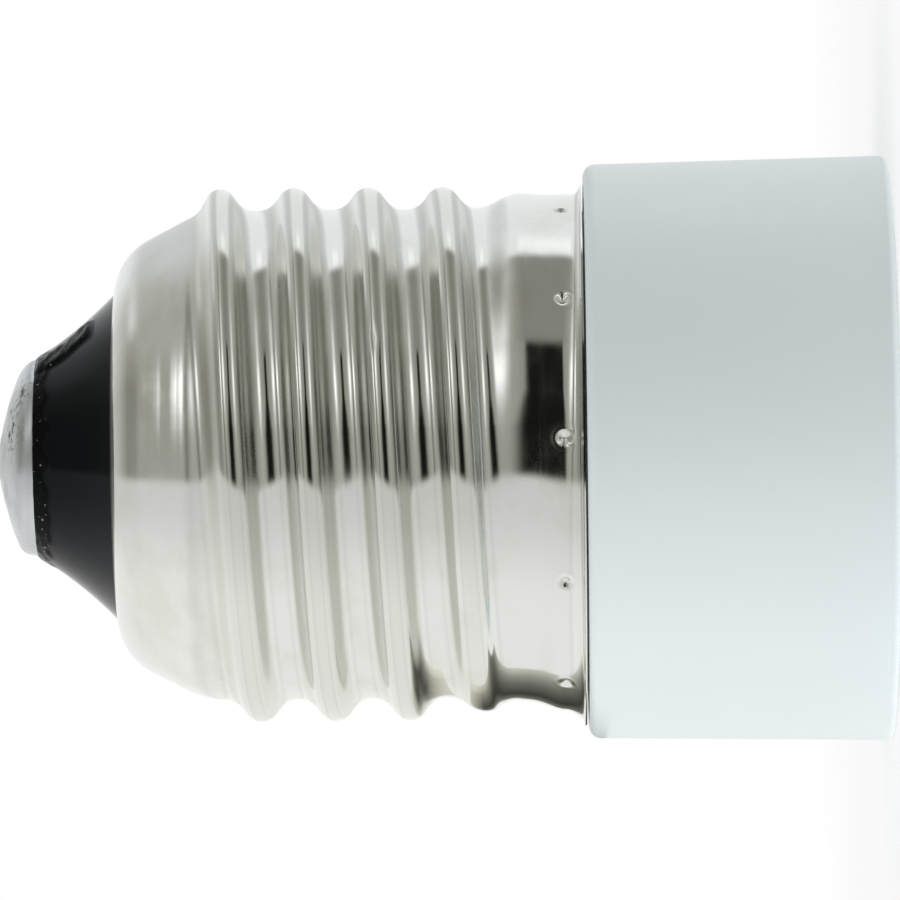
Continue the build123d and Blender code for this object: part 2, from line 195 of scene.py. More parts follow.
class Shader:
    """A material under construction: its nodes, its surface and shorthand for adding to it."""

    def __init__(self, name, **surface):
        self.material = bpy.data.materials.new(name)
        self.material.use_nodes = True
        self.tree = self.material.node_tree
        self.surface = self.tree.nodes["Principled BSDF"]
        for socket, value in surface.items():
            self.surface.inputs[socket.replace("_", " ")].default_value = value

    def add(self, kind, inputs=None, **settings):
        """Add a node; inputs maps socket names or places to values or to other nodes' outputs."""
        node = self.tree.nodes.new(kind)
        for key, value in settings.items():
            setattr(node, key, value)
        for key, value in (inputs or {}).items():
            self.put(node.inputs[key], value)
        return node

    def put(self, socket, value):
        """Set a socket or link it."""
        if isinstance(value, bpy.types.NodeSocket):
            self.tree.links.new(value, socket)
        else:
            socket.default_value = value

    def place(self, scale=(1, 1, 1)):
        """Coordinates in the part's own frame, stretched."""
        where = self.add("ShaderNodeTexCoord").outputs["Object"]
        return self.add("ShaderNodeMapping", {"Vector": where, "Scale": scale}).outputs[0]

    def noise(self, scale, detail=3.0, roughness=0.5, stretch=(1, 1, 1)):
        """Cloudy noise; scale is features per metre."""
        inputs = {"Vector": self.place(stretch), "Scale": scale, "Detail": detail, "Roughness": roughness}
        return self.add("ShaderNodeTexNoise", inputs).outputs["Fac"]

    def band(self, value, low, high, start=0.0, end=1.0):
        """Move a range of values to another, with soft ends."""
        inputs = {"Value": value, "From Min": low, "From Max": high, "To Min": start, "To Max": end}
        return self.add("ShaderNodeMapRange", inputs, interpolation_type="SMOOTHSTEP").outputs[0]

    def math(self, operation, a, b=0.0):
        """Sum, product or the like of two values."""
        return self.add("ShaderNodeMath", {0: a, 1: b}, operation=operation).outputs[0]

    def mix(self, factor, a, b):
        """Blend two colours."""
        node = self.add("ShaderNodeMix", data_type="RGBA")
        self.put(node.inputs["Factor"], factor)
        for socket, value in zip((node.inputs[6], node.inputs[7]), (a, b)):
            self.put(socket, value if isinstance(value, bpy.types.NodeSocket) else (*value, 1))
        return node.outputs[2]

    def attribute(self, name):
        """A number stored on the mesh."""
        return self.add("ShaderNodeAttribute", attribute_name=name).outputs["Fac"]

    def relief(self, height, distance, strength=1.0):
        """Small relief of a height in millimetres."""
        inputs = {"Height": height, "Distance": distance * MM, "Strength": strength}
        self.put(self.surface.inputs["Normal"], self.add("ShaderNodeBump", inputs).outputs[0])

    def colour(self, value):
        """Set or link the base colour."""
        self.put(self.surface.inputs["Base Color"], value)

    def roughness(self, value):
        """Set or link the roughness."""
        self.put(self.surface.inputs["Roughness"], value)


def tinted(tone, by):
    """A colour times another."""
    return tuple(c * w for c, w in zip(tone, by))


def nickel(name, tone):
    """Bright plating with rolling lines round the axis, smudges, a little tarnish, and painted shade darkening the
    thread's flanks.
    """
    s = Shader(name, Metallic=1.0)
    lines = s.noise(1.0, 4.0, 0.6, (70, 70, 4200))
    smudge = s.noise(330, 5.0, 0.62)
    haze = s.noise(170, 6.0, 0.62, (1, 1, 1.6))
    tarnish = s.band(haze, 0.47, 0.68)
    warm = tinted(tone, (0.92, 0.915, 0.88))
    worn = tinted(tone, (0.93, 0.93, 0.9))
    # painted shade: the thread's flanks are darker, standing for the shade between the ridges
    flank_shade = tinted(tone, (0.89, 0.885, 0.85))
    flank = s.attribute("flank")
    s.colour(s.mix(flank, s.mix(s.attribute("crest"), s.mix(tarnish, tone, warm), worn), flank_shade))
    rough = s.math("ADD", s.band(smudge, 0.42, 0.75, 0.075, 0.17), s.band(lines, 0.5, 0.8, 0.0, 0.05))
    s.roughness(s.math("ADD", rough, s.math("MULTIPLY", flank, 0.1)))
    s.relief(s.math("ADD", s.math("MULTIPLY", lines, 0.3), s.math("MULTIPLY", smudge, 0.6)), 0.01, 0.4)
    return s.material


def black_glass():
    """Opaque black glass, with rough burnt flux and pale specks where the mesh says so."""
    s = Shader("black_glass", IOR=1.42, Specular_Tint=(0.74, 0.84, 1.0, 1))
    flux = s.attribute("flux")
    grain = s.noise(5200, 4.0, 0.65)
    fine = s.band(s.noise(5200, 2.0, 0.5), 0.7, 0.76)
    coarse = s.band(s.noise(2300, 3.0, 0.6), 0.68, 0.76)
    specks = s.math("MULTIPLY", s.math("MAXIMUM", fine, coarse), s.band(flux, 0.25, 0.6))
    dull = s.mix(flux, (0.0015, 0.0015, 0.002), (0.003, 0.003, 0.0027))
    s.colour(s.mix(specks, dull, (0.3, 0.29, 0.27)))
    s.put(s.surface.inputs["Specular IOR Level"], s.band(flux, 0.1, 0.7, 0.24, 0.08))
    film = s.band(s.noise(420, 4.0, 0.6), 0.4, 0.75, 0.07, 0.2)
    s.roughness(s.math("ADD", film, s.math("MULTIPLY", flux, 0.12)))
    s.relief(s.math("MULTIPLY", grain, s.math("ADD", flux, 0.02)), 0.035, 0.6)
    return s.material


def dull_tin(name, tone):
    """Soft grey tin with fine scratches, and dark pits where the mesh says so."""
    s = Shader(name, Metallic=1.0)
    pits = s.math("MULTIPLY", s.attribute("pits"), s.band(s.noise(3000, 3.0, 0.6), 0.53, 0.6))
    cloud = s.noise(700, 4.0, 0.6)
    scratch = s.noise(1.0, 3.0, 0.6, (500, 3200, 900))
    s.colour(s.mix(pits, s.mix(cloud, tone, tuple(0.8 * c for c in tone)), (0.03, 0.03, 0.03)))
    s.roughness(s.math("ADD", s.band(cloud, 0.35, 0.7, 0.24, 0.4), s.math("MULTIPLY", pits, 0.3)))
    height = s.math("SUBTRACT", s.math("MULTIPLY", scratch, 0.5), s.math("MULTIPLY", pits, 0.8))
    s.relief(height, 0.02, 0.5)
    return s.material


def white_plastic():
    """Satin moulded plastic, cool white, with a faint grain and handling marks."""
    s = Shader("white_plastic", IOR=1.49, Specular_IOR_Level=0.42)
    cloud = s.noise(160, 4.0, 0.55)
    s.colour(s.mix(cloud, (0.745, 0.802, 0.813), (0.765, 0.822, 0.833)))
    marks = s.band(s.noise(900, 5.0, 0.6), 0.5, 0.8, 0.33, 0.46)
    s.roughness(marks)
    s.relief(s.noise(5200, 3.0, 0.5), 0.01, 0.25)
    return s.material


def plain_metal(name, tone, roughness):
    """Stamped strip or rivet metal with fine grain."""
    s = Shader(name, Metallic=1.0)
    cloud = s.noise(1400, 4.0, 0.6)
    s.colour(s.mix(cloud, tone, tuple(0.82 * c for c in tone)))
    s.roughness(s.band(cloud, 0.3, 0.75, roughness - 0.07, roughness + 0.1))
    s.relief(s.noise(1.0, 3.0, 0.6, (900, 9000, 900)), 0.012, 0.5)
    return s.material


def wire_jacket():
    """Matt sleeve of the wire."""
    s = Shader("wire_jacket", IOR=1.45)
    cloud = s.noise(2500, 3.0, 0.6)
    s.colour(s.mix(cloud, (0.62, 0.6, 0.54), (0.7, 0.68, 0.62)))
    s.roughness(s.band(cloud, 0.3, 0.7, 0.5, 0.65))
    s.relief(cloud, 0.02, 0.4)
    return s.material


NICKEL = nickel("nickel", (0.79, 0.797, 0.782))
SOCKET_NICKEL = nickel("socket_nickel", (0.76, 0.765, 0.75))
GLASS = black_glass()
TIN = dull_tin("tinned_brass", (0.66, 0.685, 0.715))
SOLDER = dull_tin("solder", (0.6, 0.61, 0.62))
WHITE = white_plastic()
BRASS = plain_metal("brass", (0.74, 0.6, 0.32), 0.28)
JACKET = wire_jacket()


def ride(obj, node):
    """Let a piece stand for a CAD node and move with the adapter."""
    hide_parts(node)
    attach(obj, "adapter")
    return obj


def punch_angles():
    """Angles of the punch marks."""
    return np.radians(PUNCH_TURN + 360 / PUNCHES * np.arange(PUNCHES))


def cap_angles():
    """Angles of the cap's columns, close together at the punch marks and wider between them."""
    near = np.linspace(-0.062, 0.062, 17)
    apart = TAU / PUNCHES
    between = np.linspace(near[-1], apart + near[0], 12)[1:-1]
    one = np.concatenate([near, between])
    return np.concatenate([a + one for a in punch_angles()])


def rolled(u):
    """Height of the rolled thread over its root, at a distance from the crest: two arcs with a short flank between."""
    crest_end, root_end = CREST_ROUND * math.sin(FLANK_ANGLE), ROOT_ROUND * math.sin(FLANK_ANGLE)
    crest = CAP_DEPTH - CREST_ROUND + np.sqrt(np.maximum(CREST_ROUND**2 - u**2, 0))
    v = CAP_PITCH / 2 - u
    root = ROOT_ROUND - np.sqrt(np.maximum(ROOT_ROUND**2 - v**2, 0))
    ends = [crest_end, CAP_PITCH / 2 - root_end]
    bow = 1 - math.cos(FLANK_ANGLE)
    flank = np.interp(u, ends, [CAP_DEPTH - CREST_ROUND * bow, ROOT_ROUND * bow])
    return np.where(u < ends[0], crest, np.where(u < ends[1], flank, root))


def cap_thread(angle, z):
    """Outer radius of the threaded stretch of the cap."""
    crest = SHOULDER_Z - FIRST_CREST + CAP_PITCH * angle / TAU
    crest = crest + CAP_PITCH * np.round((z - crest) / CAP_PITCH)
    run_out = ramp(crest - THREAD_Z, *RUN_OUT) * ramp(z - THREAD_Z, 0, RUN_OUT_H)
    below = SHOULDER_Z - z
    start = ramp(crest - SHOULDER_Z, CREST_FADE - FIRST_CREST, -FIRST_CREST) * ramp(below, 0, START_RISE)
    core = CAP_ROOT_R + (SKIRT_R - CAP_ROOT_R) * (1 - ramp(z - THREAD_Z, *CORE_STEP))
    core -= SHOULDER_SLOPE * np.maximum(0, FIRST_CREST - below) ** 2 / (2 * FIRST_CREST)
    return core + run_out * start * rolled(np.abs(z - crest))


def cap_shell():
    """Screw cap: flared uneven lip, punched skirt, rolled thread and shoulder, both faces of the sheet."""
    angle = cap_angles()[None, :]
    lip = (SKIRT_R + LIP_FLARE, CAP_Z + SHEET + LIP_FLARE)
    rise = np.linspace(lip[1], THREAD_Z, 8)[1:-1]
    skirt = outline(arc(lip, LIP_FLARE, 270, 180, 18), np.stack([np.full(len(rise), SKIRT_R), rise], -1))
    thread_z = np.linspace(THREAD_Z, SHOULDER_Z, 200)[:, None]
    thread_r = cap_thread(angle, thread_z)
    corner = np.array([CORNER_R, CORNER_Z])
    foot = corner - SHOULDER_H * np.array([-SHOULDER_SLOPE, 1])
    turn = math.degrees(SHOULDER_ANGLE)
    hole = math.degrees(math.acos((CAP_HOLE_R - ARC_R) / SHOULDER_ROUND))
    top = outline(line(foot, corner, 9)[1:], arc((ARC_R, ARC_Z), SHOULDER_ROUND, turn, hole, 20)[1:])
    flat = np.ones_like(angle)
    radius = np.concatenate([skirt[:, :1] * flat, thread_r, top[:, :1] * flat])
    height = np.concatenate([skirt[:, 1:] * flat, thread_z * flat, top[:, 1:] * flat])

    # the inner face follows the outer one at the thickness of the sheet
    dr, dz = np.gradient(radius, axis=0), np.gradient(height, axis=0)
    length = np.hypot(dr, dz)
    inner_r, inner_z = radius - SHEET * dz / length, height + SHEET * dr / length
    inner_r[0], inner_z[0] = radius[0], height[0] - SHEET
    keep = np.unique(np.concatenate([np.arange(0, len(radius), 5), [len(radius) - 1]]))
    inner_r, inner_z = inner_r[keep], inner_z[keep]
    height = height - LIP_DROP * np.clip((lip[1] - height) / LIP_FLARE, 0, 1) ** 3

    def uneven(r, z):
        """Radius of the real sheet: skirt and lip a little off centre, waves, punch marks and a nick."""
        one, other = ((1 + np.cos(angle)) / 2) ** 2.5, ((1 - np.cos(angle)) / 2) ** 2.5
        r = r + SKIRT_SHIFT * (1 - ramp(z, CAP_Z + 3.2, CAP_Z + 5.2)) * np.cos(angle)
        r = r + LIP_OUT * (1 - ramp(z, CAP_Z + 0.7, CAP_Z + 3.1)) * other
        r = r - LIP_IN * (1 - ramp(z, CAP_Z, CAP_Z + 1.1)) * one
        r = r + 0.035 * (1 - ramp(z, CAP_Z + 0.3, CAP_Z + 1.7)) * waves(angle, 0 * z, 5, lobes=5)
        r = r + 0.008 * np.sin(TAU * (z - SHOULDER_Z - 0.1) / 0.8) * bump(z, SHOULDER_Z + 0.5, 0.8)
        r = r + 0.012 * waves(angle, z, 8, lobes=5, pitch=0.9)
        for mark in punch_angles():
            gap = np.hypot(turn_gap(angle, mark) * SKIRT_R, z - lip[1] - PUNCH_RISE)
            r = r + 0.018 * bump(gap, 0.45, 0.13) - 0.2 * bump(gap, 0, 0.25)
        nick = np.hypot(turn_gap(angle, math.radians(NICK_ANGLE)) * 8, z - NICK_Z)
        return r - NICK_DEPTH * bump(nick, 0, 0.2)

    outer = uneven(radius, height)
    inner = uneven(inner_r, inner_z)
    rows_r = np.concatenate([outer, inner[::-1]])
    rows_z = np.concatenate([height, inner_z[::-1]])
    obj = turned_object("screw_cap", rows_r, rows_z, angle, NICKEL, 50)
    set_attribute(obj, "crest", ramp(rows_r, 12.55, 13.0) * ramp(rows_z, THREAD_Z + 2, THREAD_Z + 3))
    slope = np.gradient(rows_r, axis=0) / np.where(np.arange(len(rows_r)) < len(outer), 1, -1)[:, None]
    slope = slope / np.maximum(np.abs(np.gradient(rows_z, axis=0)), 1e-6)
    threaded = ramp(rows_z, THREAD_Z + 3, THREAD_Z + 4) * (1 - ramp(rows_z, SHOULDER_Z - 1, SHOULDER_Z))
    rising, falling = ramp(slope, 0.45, 0.9), ramp(-slope, 0.3, 0.8)
    # flank mask: where the nickel gets painted shade and more roughness
    set_attribute(obj, "flank", threaded * (rising + falling * (1 - ramp(rows_r, 12.3, 12.7))))
    return obj


def glass():
    """Glass of the cap, with a crust of flux near the tip and one streak up the side."""
    angles = np.linspace(0, TAU, 288, endpoint=False)[None, :]
    inside = SHOULDER_ROUND - SHEET
    corner = np.array([CORNER_R, CORNER_Z]) - SHEET * np.array([math.cos(SHOULDER_ANGLE), math.sin(SHOULDER_ANGLE)])
    foot = corner + GLASS_RIM_H * np.array([SHOULDER_SLOPE, -1])
    throat = math.degrees(math.acos((CAP_HOLE_R - ARC_R) / inside))
    start, seat = np.array([CAP_HOLE_R, CAP_END]), np.array([GLASS_TOP_R, GLASS_TOP])
    t = np.linspace(0, 1, 56)[:, None]
    inward = np.array([-(seat - start)[1], (seat - start)[0]]) / np.linalg.norm(seat - start)
    cone = start + (seat - start) * t + inward * GLASS_HOLLOW * 4 * t * (1 - t)
    dome = tip_outline(TIP_SHEET)
    under = foot[1] + GLASS_DISH_H
    rows = outline(
        line(foot, corner, 4),
        arc((ARC_R, ARC_Z), inside, math.degrees(SHOULDER_ANGLE), throat, 12),
        cone,
        dome[dome[:, 0] > EYELET_R],
        [(EYELET_R, dome[-1, 1]), (EYELET_R, under), (GLASS_DISH_R, under)],
    )
    radius, height = spun(rows, angles)
    slant = ramp(height, CAP_END + 0.3, CAP_END + 0.8) * (1 - ramp(height, GLASS_TOP - 0.02, GLASS_TOP + 0.02))
    crust = ramp(height + 0.22 * waves(angles, 0 * height, 21, lobes=23), GLASS_TOP - 0.95, GLASS_TOP - 0.5)
    aside = np.abs(turn_gap(angles, math.radians(STREAK_ANGLE)) - 0.03 * waves(0 * angles, height * 3, 4))
    streak = (1 - ramp(aside, 0.08, 0.18)) * (1 - ramp(height, *STREAK_TOP)) * ramp(height, *STREAK_FOOT)
    flux = np.clip(0.9 * crust + streak, 0, 1) * slant
    lumps = 0.5 + 0.5 * waves(angles, height * 6, 31, count=12, lobes=42, pitch=2.2)
    lumps = np.clip(lumps, 0, 1.6)
    lift = flux * (0.015 + 0.04 * lumps) + 0.14 * slant * streak * (0.8 + 0.2 * lumps)
    radius = radius + 0.78 * lift
    height = height + 0.63 * lift
    obj = turned_object("glass_insulator", radius, height, angles, GLASS, 40)
    set_attribute(obj, "flux", flux)
    return obj


def tip_outline(inset):
    """Dome of the tip contact from its edge to the axis, drawn in by an inset."""
    reach, top, big = TIP_R - inset, TIP_TOP - inset, TIP_DOME_R - inset
    small = TIP_ROUND - inset
    centre_r = reach - small
    centre_z = top - big + math.sqrt((big - small) ** 2 - centre_r**2)
    meet = math.degrees(math.atan2(centre_z - (top - big), centre_r))
    return outline(
        line((reach, GLASS_TOP), (reach, centre_z), 4),
        arc((centre_r, centre_z), small, 0, meet, 14),
        arc((0, top - big), big, meet, 90, 40),
    )


def set_aside(obj):
    """Let the tip sit a little off the axis, more so towards its top."""
    points = np.empty(3 * len(obj.data.vertices), np.float32)
    obj.data.vertices.foreach_get("co", points)
    points[0::3] -= TIP_SHIFT * MM * ramp(points[2::3] / MM, GLASS_TOP, GLASS_TOP + TIP_SHIFT_H)
    obj.data.vertices.foreach_set("co", points)
    return obj


def tip_contact():
    """Domed eyelet, a little worn and uneven."""
    angles = np.linspace(0, TAU, 256, endpoint=False)[None, :]
    outer, inner = tip_outline(0), tip_outline(TIP_SHEET)
    outer, inner = outer[outer[:, 0] > EYELET_HOLE_R], inner[inner[:, 0] > EYELET_R]
    rows = outline(
        outer,
        [(EYELET_HOLE_R, outer[-1, 1]), (EYELET_HOLE_R, STEM_Z), (EYELET_R, STEM_Z), (EYELET_R, inner[-1, 1])],
        inner[::-1],
    )
    radius, height = spun(rows, angles)
    outside = (np.arange(len(rows)) < len(outer))[:, None] * np.ones_like(angles)
    dent = waves(angles, radius * 1.5, 12, count=9, lobes=7, pitch=1.4)
    height = height - outside * ramp(radius, 1.7, 2.4) * 0.02 * (1 + dent)
    pits = bump(turn_gap(angles, math.radians(PIT_ANGLES[0])), 0, 0.34) * bump(radius, 3.7, 0.6)
    pits += 0.8 * bump(turn_gap(angles, math.radians(PIT_ANGLES[1])), 0, 0.16) * bump(radius, 4.4, 0.4)
    obj = turned_object("tip_contact", radius, height, angles, TIN, 40)
    set_attribute(obj, "pits", np.clip(pits, 0, 1) * outside)
    return set_aside(obj)


def solder_drop():
    """Low uneven drop of solder over the eyelet."""
    angles = np.linspace(0, TAU, 128, endpoint=False)[None, :]
    under = TIP_TOP - TIP_DOME_R + np.sqrt(TIP_DOME_R**2 - DROP_R**2)
    high = TIP_TOP + DROP_RISE - under
    big = (DROP_R**2 + high**2) / (2 * high)
    spread = np.linspace(DROP_R, 0.02, 24)
    over = np.stack([spread, TIP_TOP + DROP_RISE - big + np.sqrt(big**2 - spread**2)], -1)
    below = np.linspace(EYELET_HOLE_R, DROP_R, 8)
    seat = np.stack([below, TIP_TOP - TIP_DOME_R + np.sqrt(TIP_DOME_R**2 - below**2)], -1)
    rows = outline(over, [(0.02, TIP_TOP - DROP_STEM_H), (EYELET_HOLE_R, TIP_TOP - DROP_STEM_H)], seat[:-1])
    radius, height = spun(rows, angles)
    top = (np.arange(len(rows)) < len(over))[:, None]
    radius = np.where(top, radius * (1 - 0.04 * (1 + waves(angles, 0 * radius, 17, lobes=6))), radius)
    height = height - top * bump(radius, 0.9, 0.5) * 0.012 * (1 + waves(angles, radius, 18, lobes=5))
    obj = turned_object("solder_drop", radius, height, angles, SOLDER, 40)
    set_attribute(obj, "pits", np.zeros(radius.shape))
    return set_aside(obj)


def drum():
    """Drum, neck and socket floor in one moulding."""
    angles = np.linspace(0, TAU, 320, endpoint=False)[None, :]
    groove_r = SKIRT_R - SHEET - PUNCH_DEPTH - NECK_GAP
    neck_r = CAP_ROOT_R - SHEET - NECK_GAP
    land_r = neck_r + LAND_STEP
    land_top = THREAD_Z + CORE_STEP[0]
    seat_r = SOCKET_LIP_R + SLOT_GAP
    rows = outline(
        [(MOUTH_R + MOUTH_CHAMFER, 0)],
        corner_round((MOUTH_R + MOUTH_CHAMFER, 0), (RIM_R, 0), (BACK_R, DRUM_H), RIM_ROUND, 10),
        corner_round((RIM_R, 0), (BACK_R, DRUM_H), (groove_r, DRUM_H), BACK_ROUND, 12),
        [(groove_r, DRUM_H), (groove_r, DRUM_H + GROOVE_H), (land_r, DRUM_H + GROOVE_H), (land_r, land_top)],
        [(neck_r, land_top), (neck_r, NECK_TOP - NECK_CHAMFER), (neck_r - NECK_CHAMFER, NECK_TOP)],
        [(DISH_R, NECK_TOP), (DISH_R, FLOOR_TOP), (0.05, FLOOR_TOP), (0.05, FLOOR_Z), (BORE_R, FLOOR_Z)],
        [(BORE_R, MOUTH_DEPTH), (seat_r, MOUTH_DEPTH), (seat_r, MOUTH_DEPTH - SHEET)],
        [(MOUTH_R, MOUTH_DEPTH - SHEET), (MOUTH_R, MOUTH_CHAMFER)],
    )
    return turned_object("drum", *spun(rows, angles), angles, WHITE, 30)


def corner_round(before, corner, after, radius, steps):
    """Points of a rounded corner of an outline."""
    before, corner, after = (np.array(p, float) for p in (before, corner, after))
    a, b = before - corner, after - corner
    a, b = a / np.linalg.norm(a), b / np.linalg.norm(b)
    half = math.acos(np.clip(a @ b, -1, 1)) / 2
    centre = corner + (a + b) / np.linalg.norm(a + b) * radius / math.sin(half)
    first, last = corner + a * radius / math.tan(half) - centre, corner + b * radius / math.tan(half) - centre
    start, end = math.atan2(first[1], first[0]), math.atan2(last[1], last[0])
    end = start + turn_gap(end, start)
    t = np.linspace(start, end, steps)
    return np.stack([centre[0] + radius * np.cos(t), centre[1] + radius * np.sin(t)], -1)


def socket_shell():
    """Lamp socket: lip, rolled thread, wider base and flange, both faces of the sheet."""
    angles = np.linspace(0, TAU, 216, endpoint=False)[None, :]
    ones = np.ones_like(angles)
    bend = (SOCKET_R + SHEET + SOCKET_BEND, MOUTH_DEPTH + SOCKET_BEND)
    low, step = bend[1], MOUTH_DEPTH + SOCKET_THREAD_H
    base, top = SOCKET_R + SOCKET_STEP, FLOOR_Z - SHEET
    z = np.linspace(low, step + SOCKET_STEP, 130)[:, None]
    crest = SOCKET_PITCH * angles / TAU
    phase = TAU * (z - crest) / SOCKET_PITCH
    fade = ramp(z, low + 0.2, low + 2.2) * (1 - ramp(z, step - 1.8, step))
    wide = SOCKET_STEP * ramp(z, step - 0.4, step + SOCKET_STEP)
    thread = SOCKET_R + wide + fade * SOCKET_DEPTH * (0.5 - 0.5 * np.cos(phase))
    lip = outline(line((SOCKET_LIP_R, MOUTH_DEPTH - SHEET), (bend[0], MOUTH_DEPTH - SHEET), 5),
                  arc(bend, SOCKET_BEND + SHEET, 270, 180, 10)[1:-1])
    flange = np.array([(base, top), (FLANGE_HOLE_R, top)])
    radius = np.concatenate([lip[:, :1] * ones, thread, flange[:, :1] * ones])
    height = np.concatenate([lip[:, 1:] * ones, z * ones, flange[:, 1:] * ones])
    back = outline([(FLANGE_HOLE_R, FLOOR_Z)], arc((base, top), SHEET, 90, 0, 6))
    outer_lip = outline(arc(bend, SOCKET_BEND, 180, 270, 8)[1:], [(SOCKET_LIP_R, MOUTH_DEPTH)])
    slope = np.gradient(thread, axis=0) / np.gradient(z, axis=0)
    outer = thread + SHEET * np.hypot(1, slope)
    radius = np.concatenate([radius, back[:, :1] * ones, outer[::-1], outer_lip[:, :1] * ones])
    height = np.concatenate([height, back[:, 1:] * ones, z[::-1] * ones, outer_lip[:, 1:] * ones])
    return turned_object("lamp_socket", radius, height, angles, SOCKET_NICKEL, 45)


def contact_leaf():
    """Bent spring strip of the centre contact, with rounded edges and a hole for its rivet."""
    level = FLOOR_Z - LEAF_T / 2
    turn = math.radians(LEAF_ANGLE)
    big = LEAF_BEND_R + LEAF_T / 2
    foot = line((LEAF_START, level), (LEAF_BEND_X, level), 12)
    bend = arc((LEAF_BEND_X, level - big), big, 90, 90 - LEAF_ANGLE, 12)[1:]
    ahead = np.array([math.cos(turn), -math.sin(turn)])
    tongue = bend[-1] + ahead * np.linspace(0, LEAF_LENGTH, 16)[1:, None]
    centre = tongue[-1] + LEAF_TIP_R * np.array([math.sin(turn), math.cos(turn)])
    tip = arc(centre, LEAF_TIP_R, 270 - LEAF_ANGLE, 270 + LEAF_ANGLE, 14)[1:]
    path = np.concatenate([foot, bend, tongue, tip])
    along = np.gradient(path, axis=0)
    along /= np.linalg.norm(along, axis=1)[:, None]
    up = np.stack([-along[:, 1], along[:, 0]], -1)
    half, thick, edge = LEAF_W / 2, LEAF_T / 2, LEAF_EDGE
    section = [(half - edge, thick), (half, thick - edge), (half, edge - thick), (half - edge, -thick)]
    section += [(-w, -t) for w, t in section]
    rows = []
    for place, normal in zip(path, up):
        rows.append([(place[0] + normal[0] * t, w, place[1] + normal[1] * t) for w, t in section])
    count = len(section)
    faces = [
        (i * count + j, i * count + (j + 1) % count, (i + 1) * count + (j + 1) % count, (i + 1) * count + j)
        for i in range(len(rows) - 1)
        for j in range(count)
    ]
    faces += [tuple(range(count))[::-1], tuple((len(rows) - 1) * count + j for j in range(count))]
    strip = mesh_object("contact_leaf", np.concatenate(rows), faces, BRASS, 40)
    steps = 48
    around = np.linspace(0, TAU, steps, endpoint=False)
    ring = np.stack([CENTRE_RIVET_X + CENTRE_RIVET_R * np.cos(around), CENTRE_RIVET_R * np.sin(around)], -1)
    ends = [[(x, y, FLOOR_Z + shift) for x, y in ring] for shift in (-1, 1)]
    sides = [(j, (j + 1) % steps, steps + (j + 1) % steps, steps + j) for j in range(steps)]
    lids = [tuple(range(steps))[::-1], tuple(range(steps, 2 * steps))]
    drill = mesh_object("drill", ends[0] + ends[1], sides + lids, BRASS)
    cut = strip.modifiers.new("hole", "BOOLEAN")
    cut.object, cut.operation, cut.solver = drill, "DIFFERENCE", "EXACT"
    bpy.context.view_layer.update()
    made = bpy.data.meshes.new_from_object(strip.evaluated_get(bpy.context.evaluated_depsgraph_get()))
    strip.modifiers.clear()
    strip.data = made
    bpy.data.objects.remove(drill)
    return strip


ride(cap_shell(), "cap_shell")
ride(glass(), "cap_insulator")
ride(tip_contact(), "cap_contact")
ride(solder_drop(), "tip_solder")
ride(drum(), "adapter_body")
ride(socket_shell(), "socket_shell")

leaf = contact_leaf()
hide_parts("centre_contact")
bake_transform(leaf)

for node, finish in {
    "centre_rivet": BRASS,
    "shell_rivets": BRASS,
    "neutral_strap": BRASS,
    "live_wire": JACKET,
    "wire_solder": SOLDER,
}.items():
    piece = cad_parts[node]
    piece.data.materials.clear()
    piece.data.materials.append(finish)


def light_paths(tree, *kinds):
    """1 for rays of any of the given kinds."""
    path = tree.nodes.new("ShaderNodeLightPath")
    total = path.outputs[kinds[0]]
    for kind in kinds[1:]:
        either = tree.nodes.new("ShaderNodeMath")
        either.operation = "MAXIMUM"
        tree.links.new(total, either.inputs[0])
        tree.links.new(path.outputs[kind], either.inputs[1])
        total = either.outputs[0]
    return total


def studio_world():
    """White to the eye and to metal and glass; a plain even level for the rest."""
    world = bpy.data.worlds.new("studio")
    bpy.context.scene.world = world
    world.use_nodes = True
    tree = world.node_tree
    seen = tree.nodes["Background"]
    seen.inputs["Color"].default_value = (1, 1, 1, 1)
    fill = tree.nodes.new("ShaderNodeBackground")
    fill.inputs["Color"].default_value = (0.97, 0.99, 1.0, 1)
    fill.inputs["Strength"].default_value = 0.44
    mix = tree.nodes.new("ShaderNodeMixShader")
    tree.links.new(light_paths(tree, *SEEN_RAYS), mix.inputs[0])
    tree.links.new(fill.outputs[0], mix.inputs[1])
    tree.links.new(seen.outputs[0], mix.inputs[2])
    tree.links.new(mix.outputs[0], tree.nodes["World Output"].inputs["Surface"])


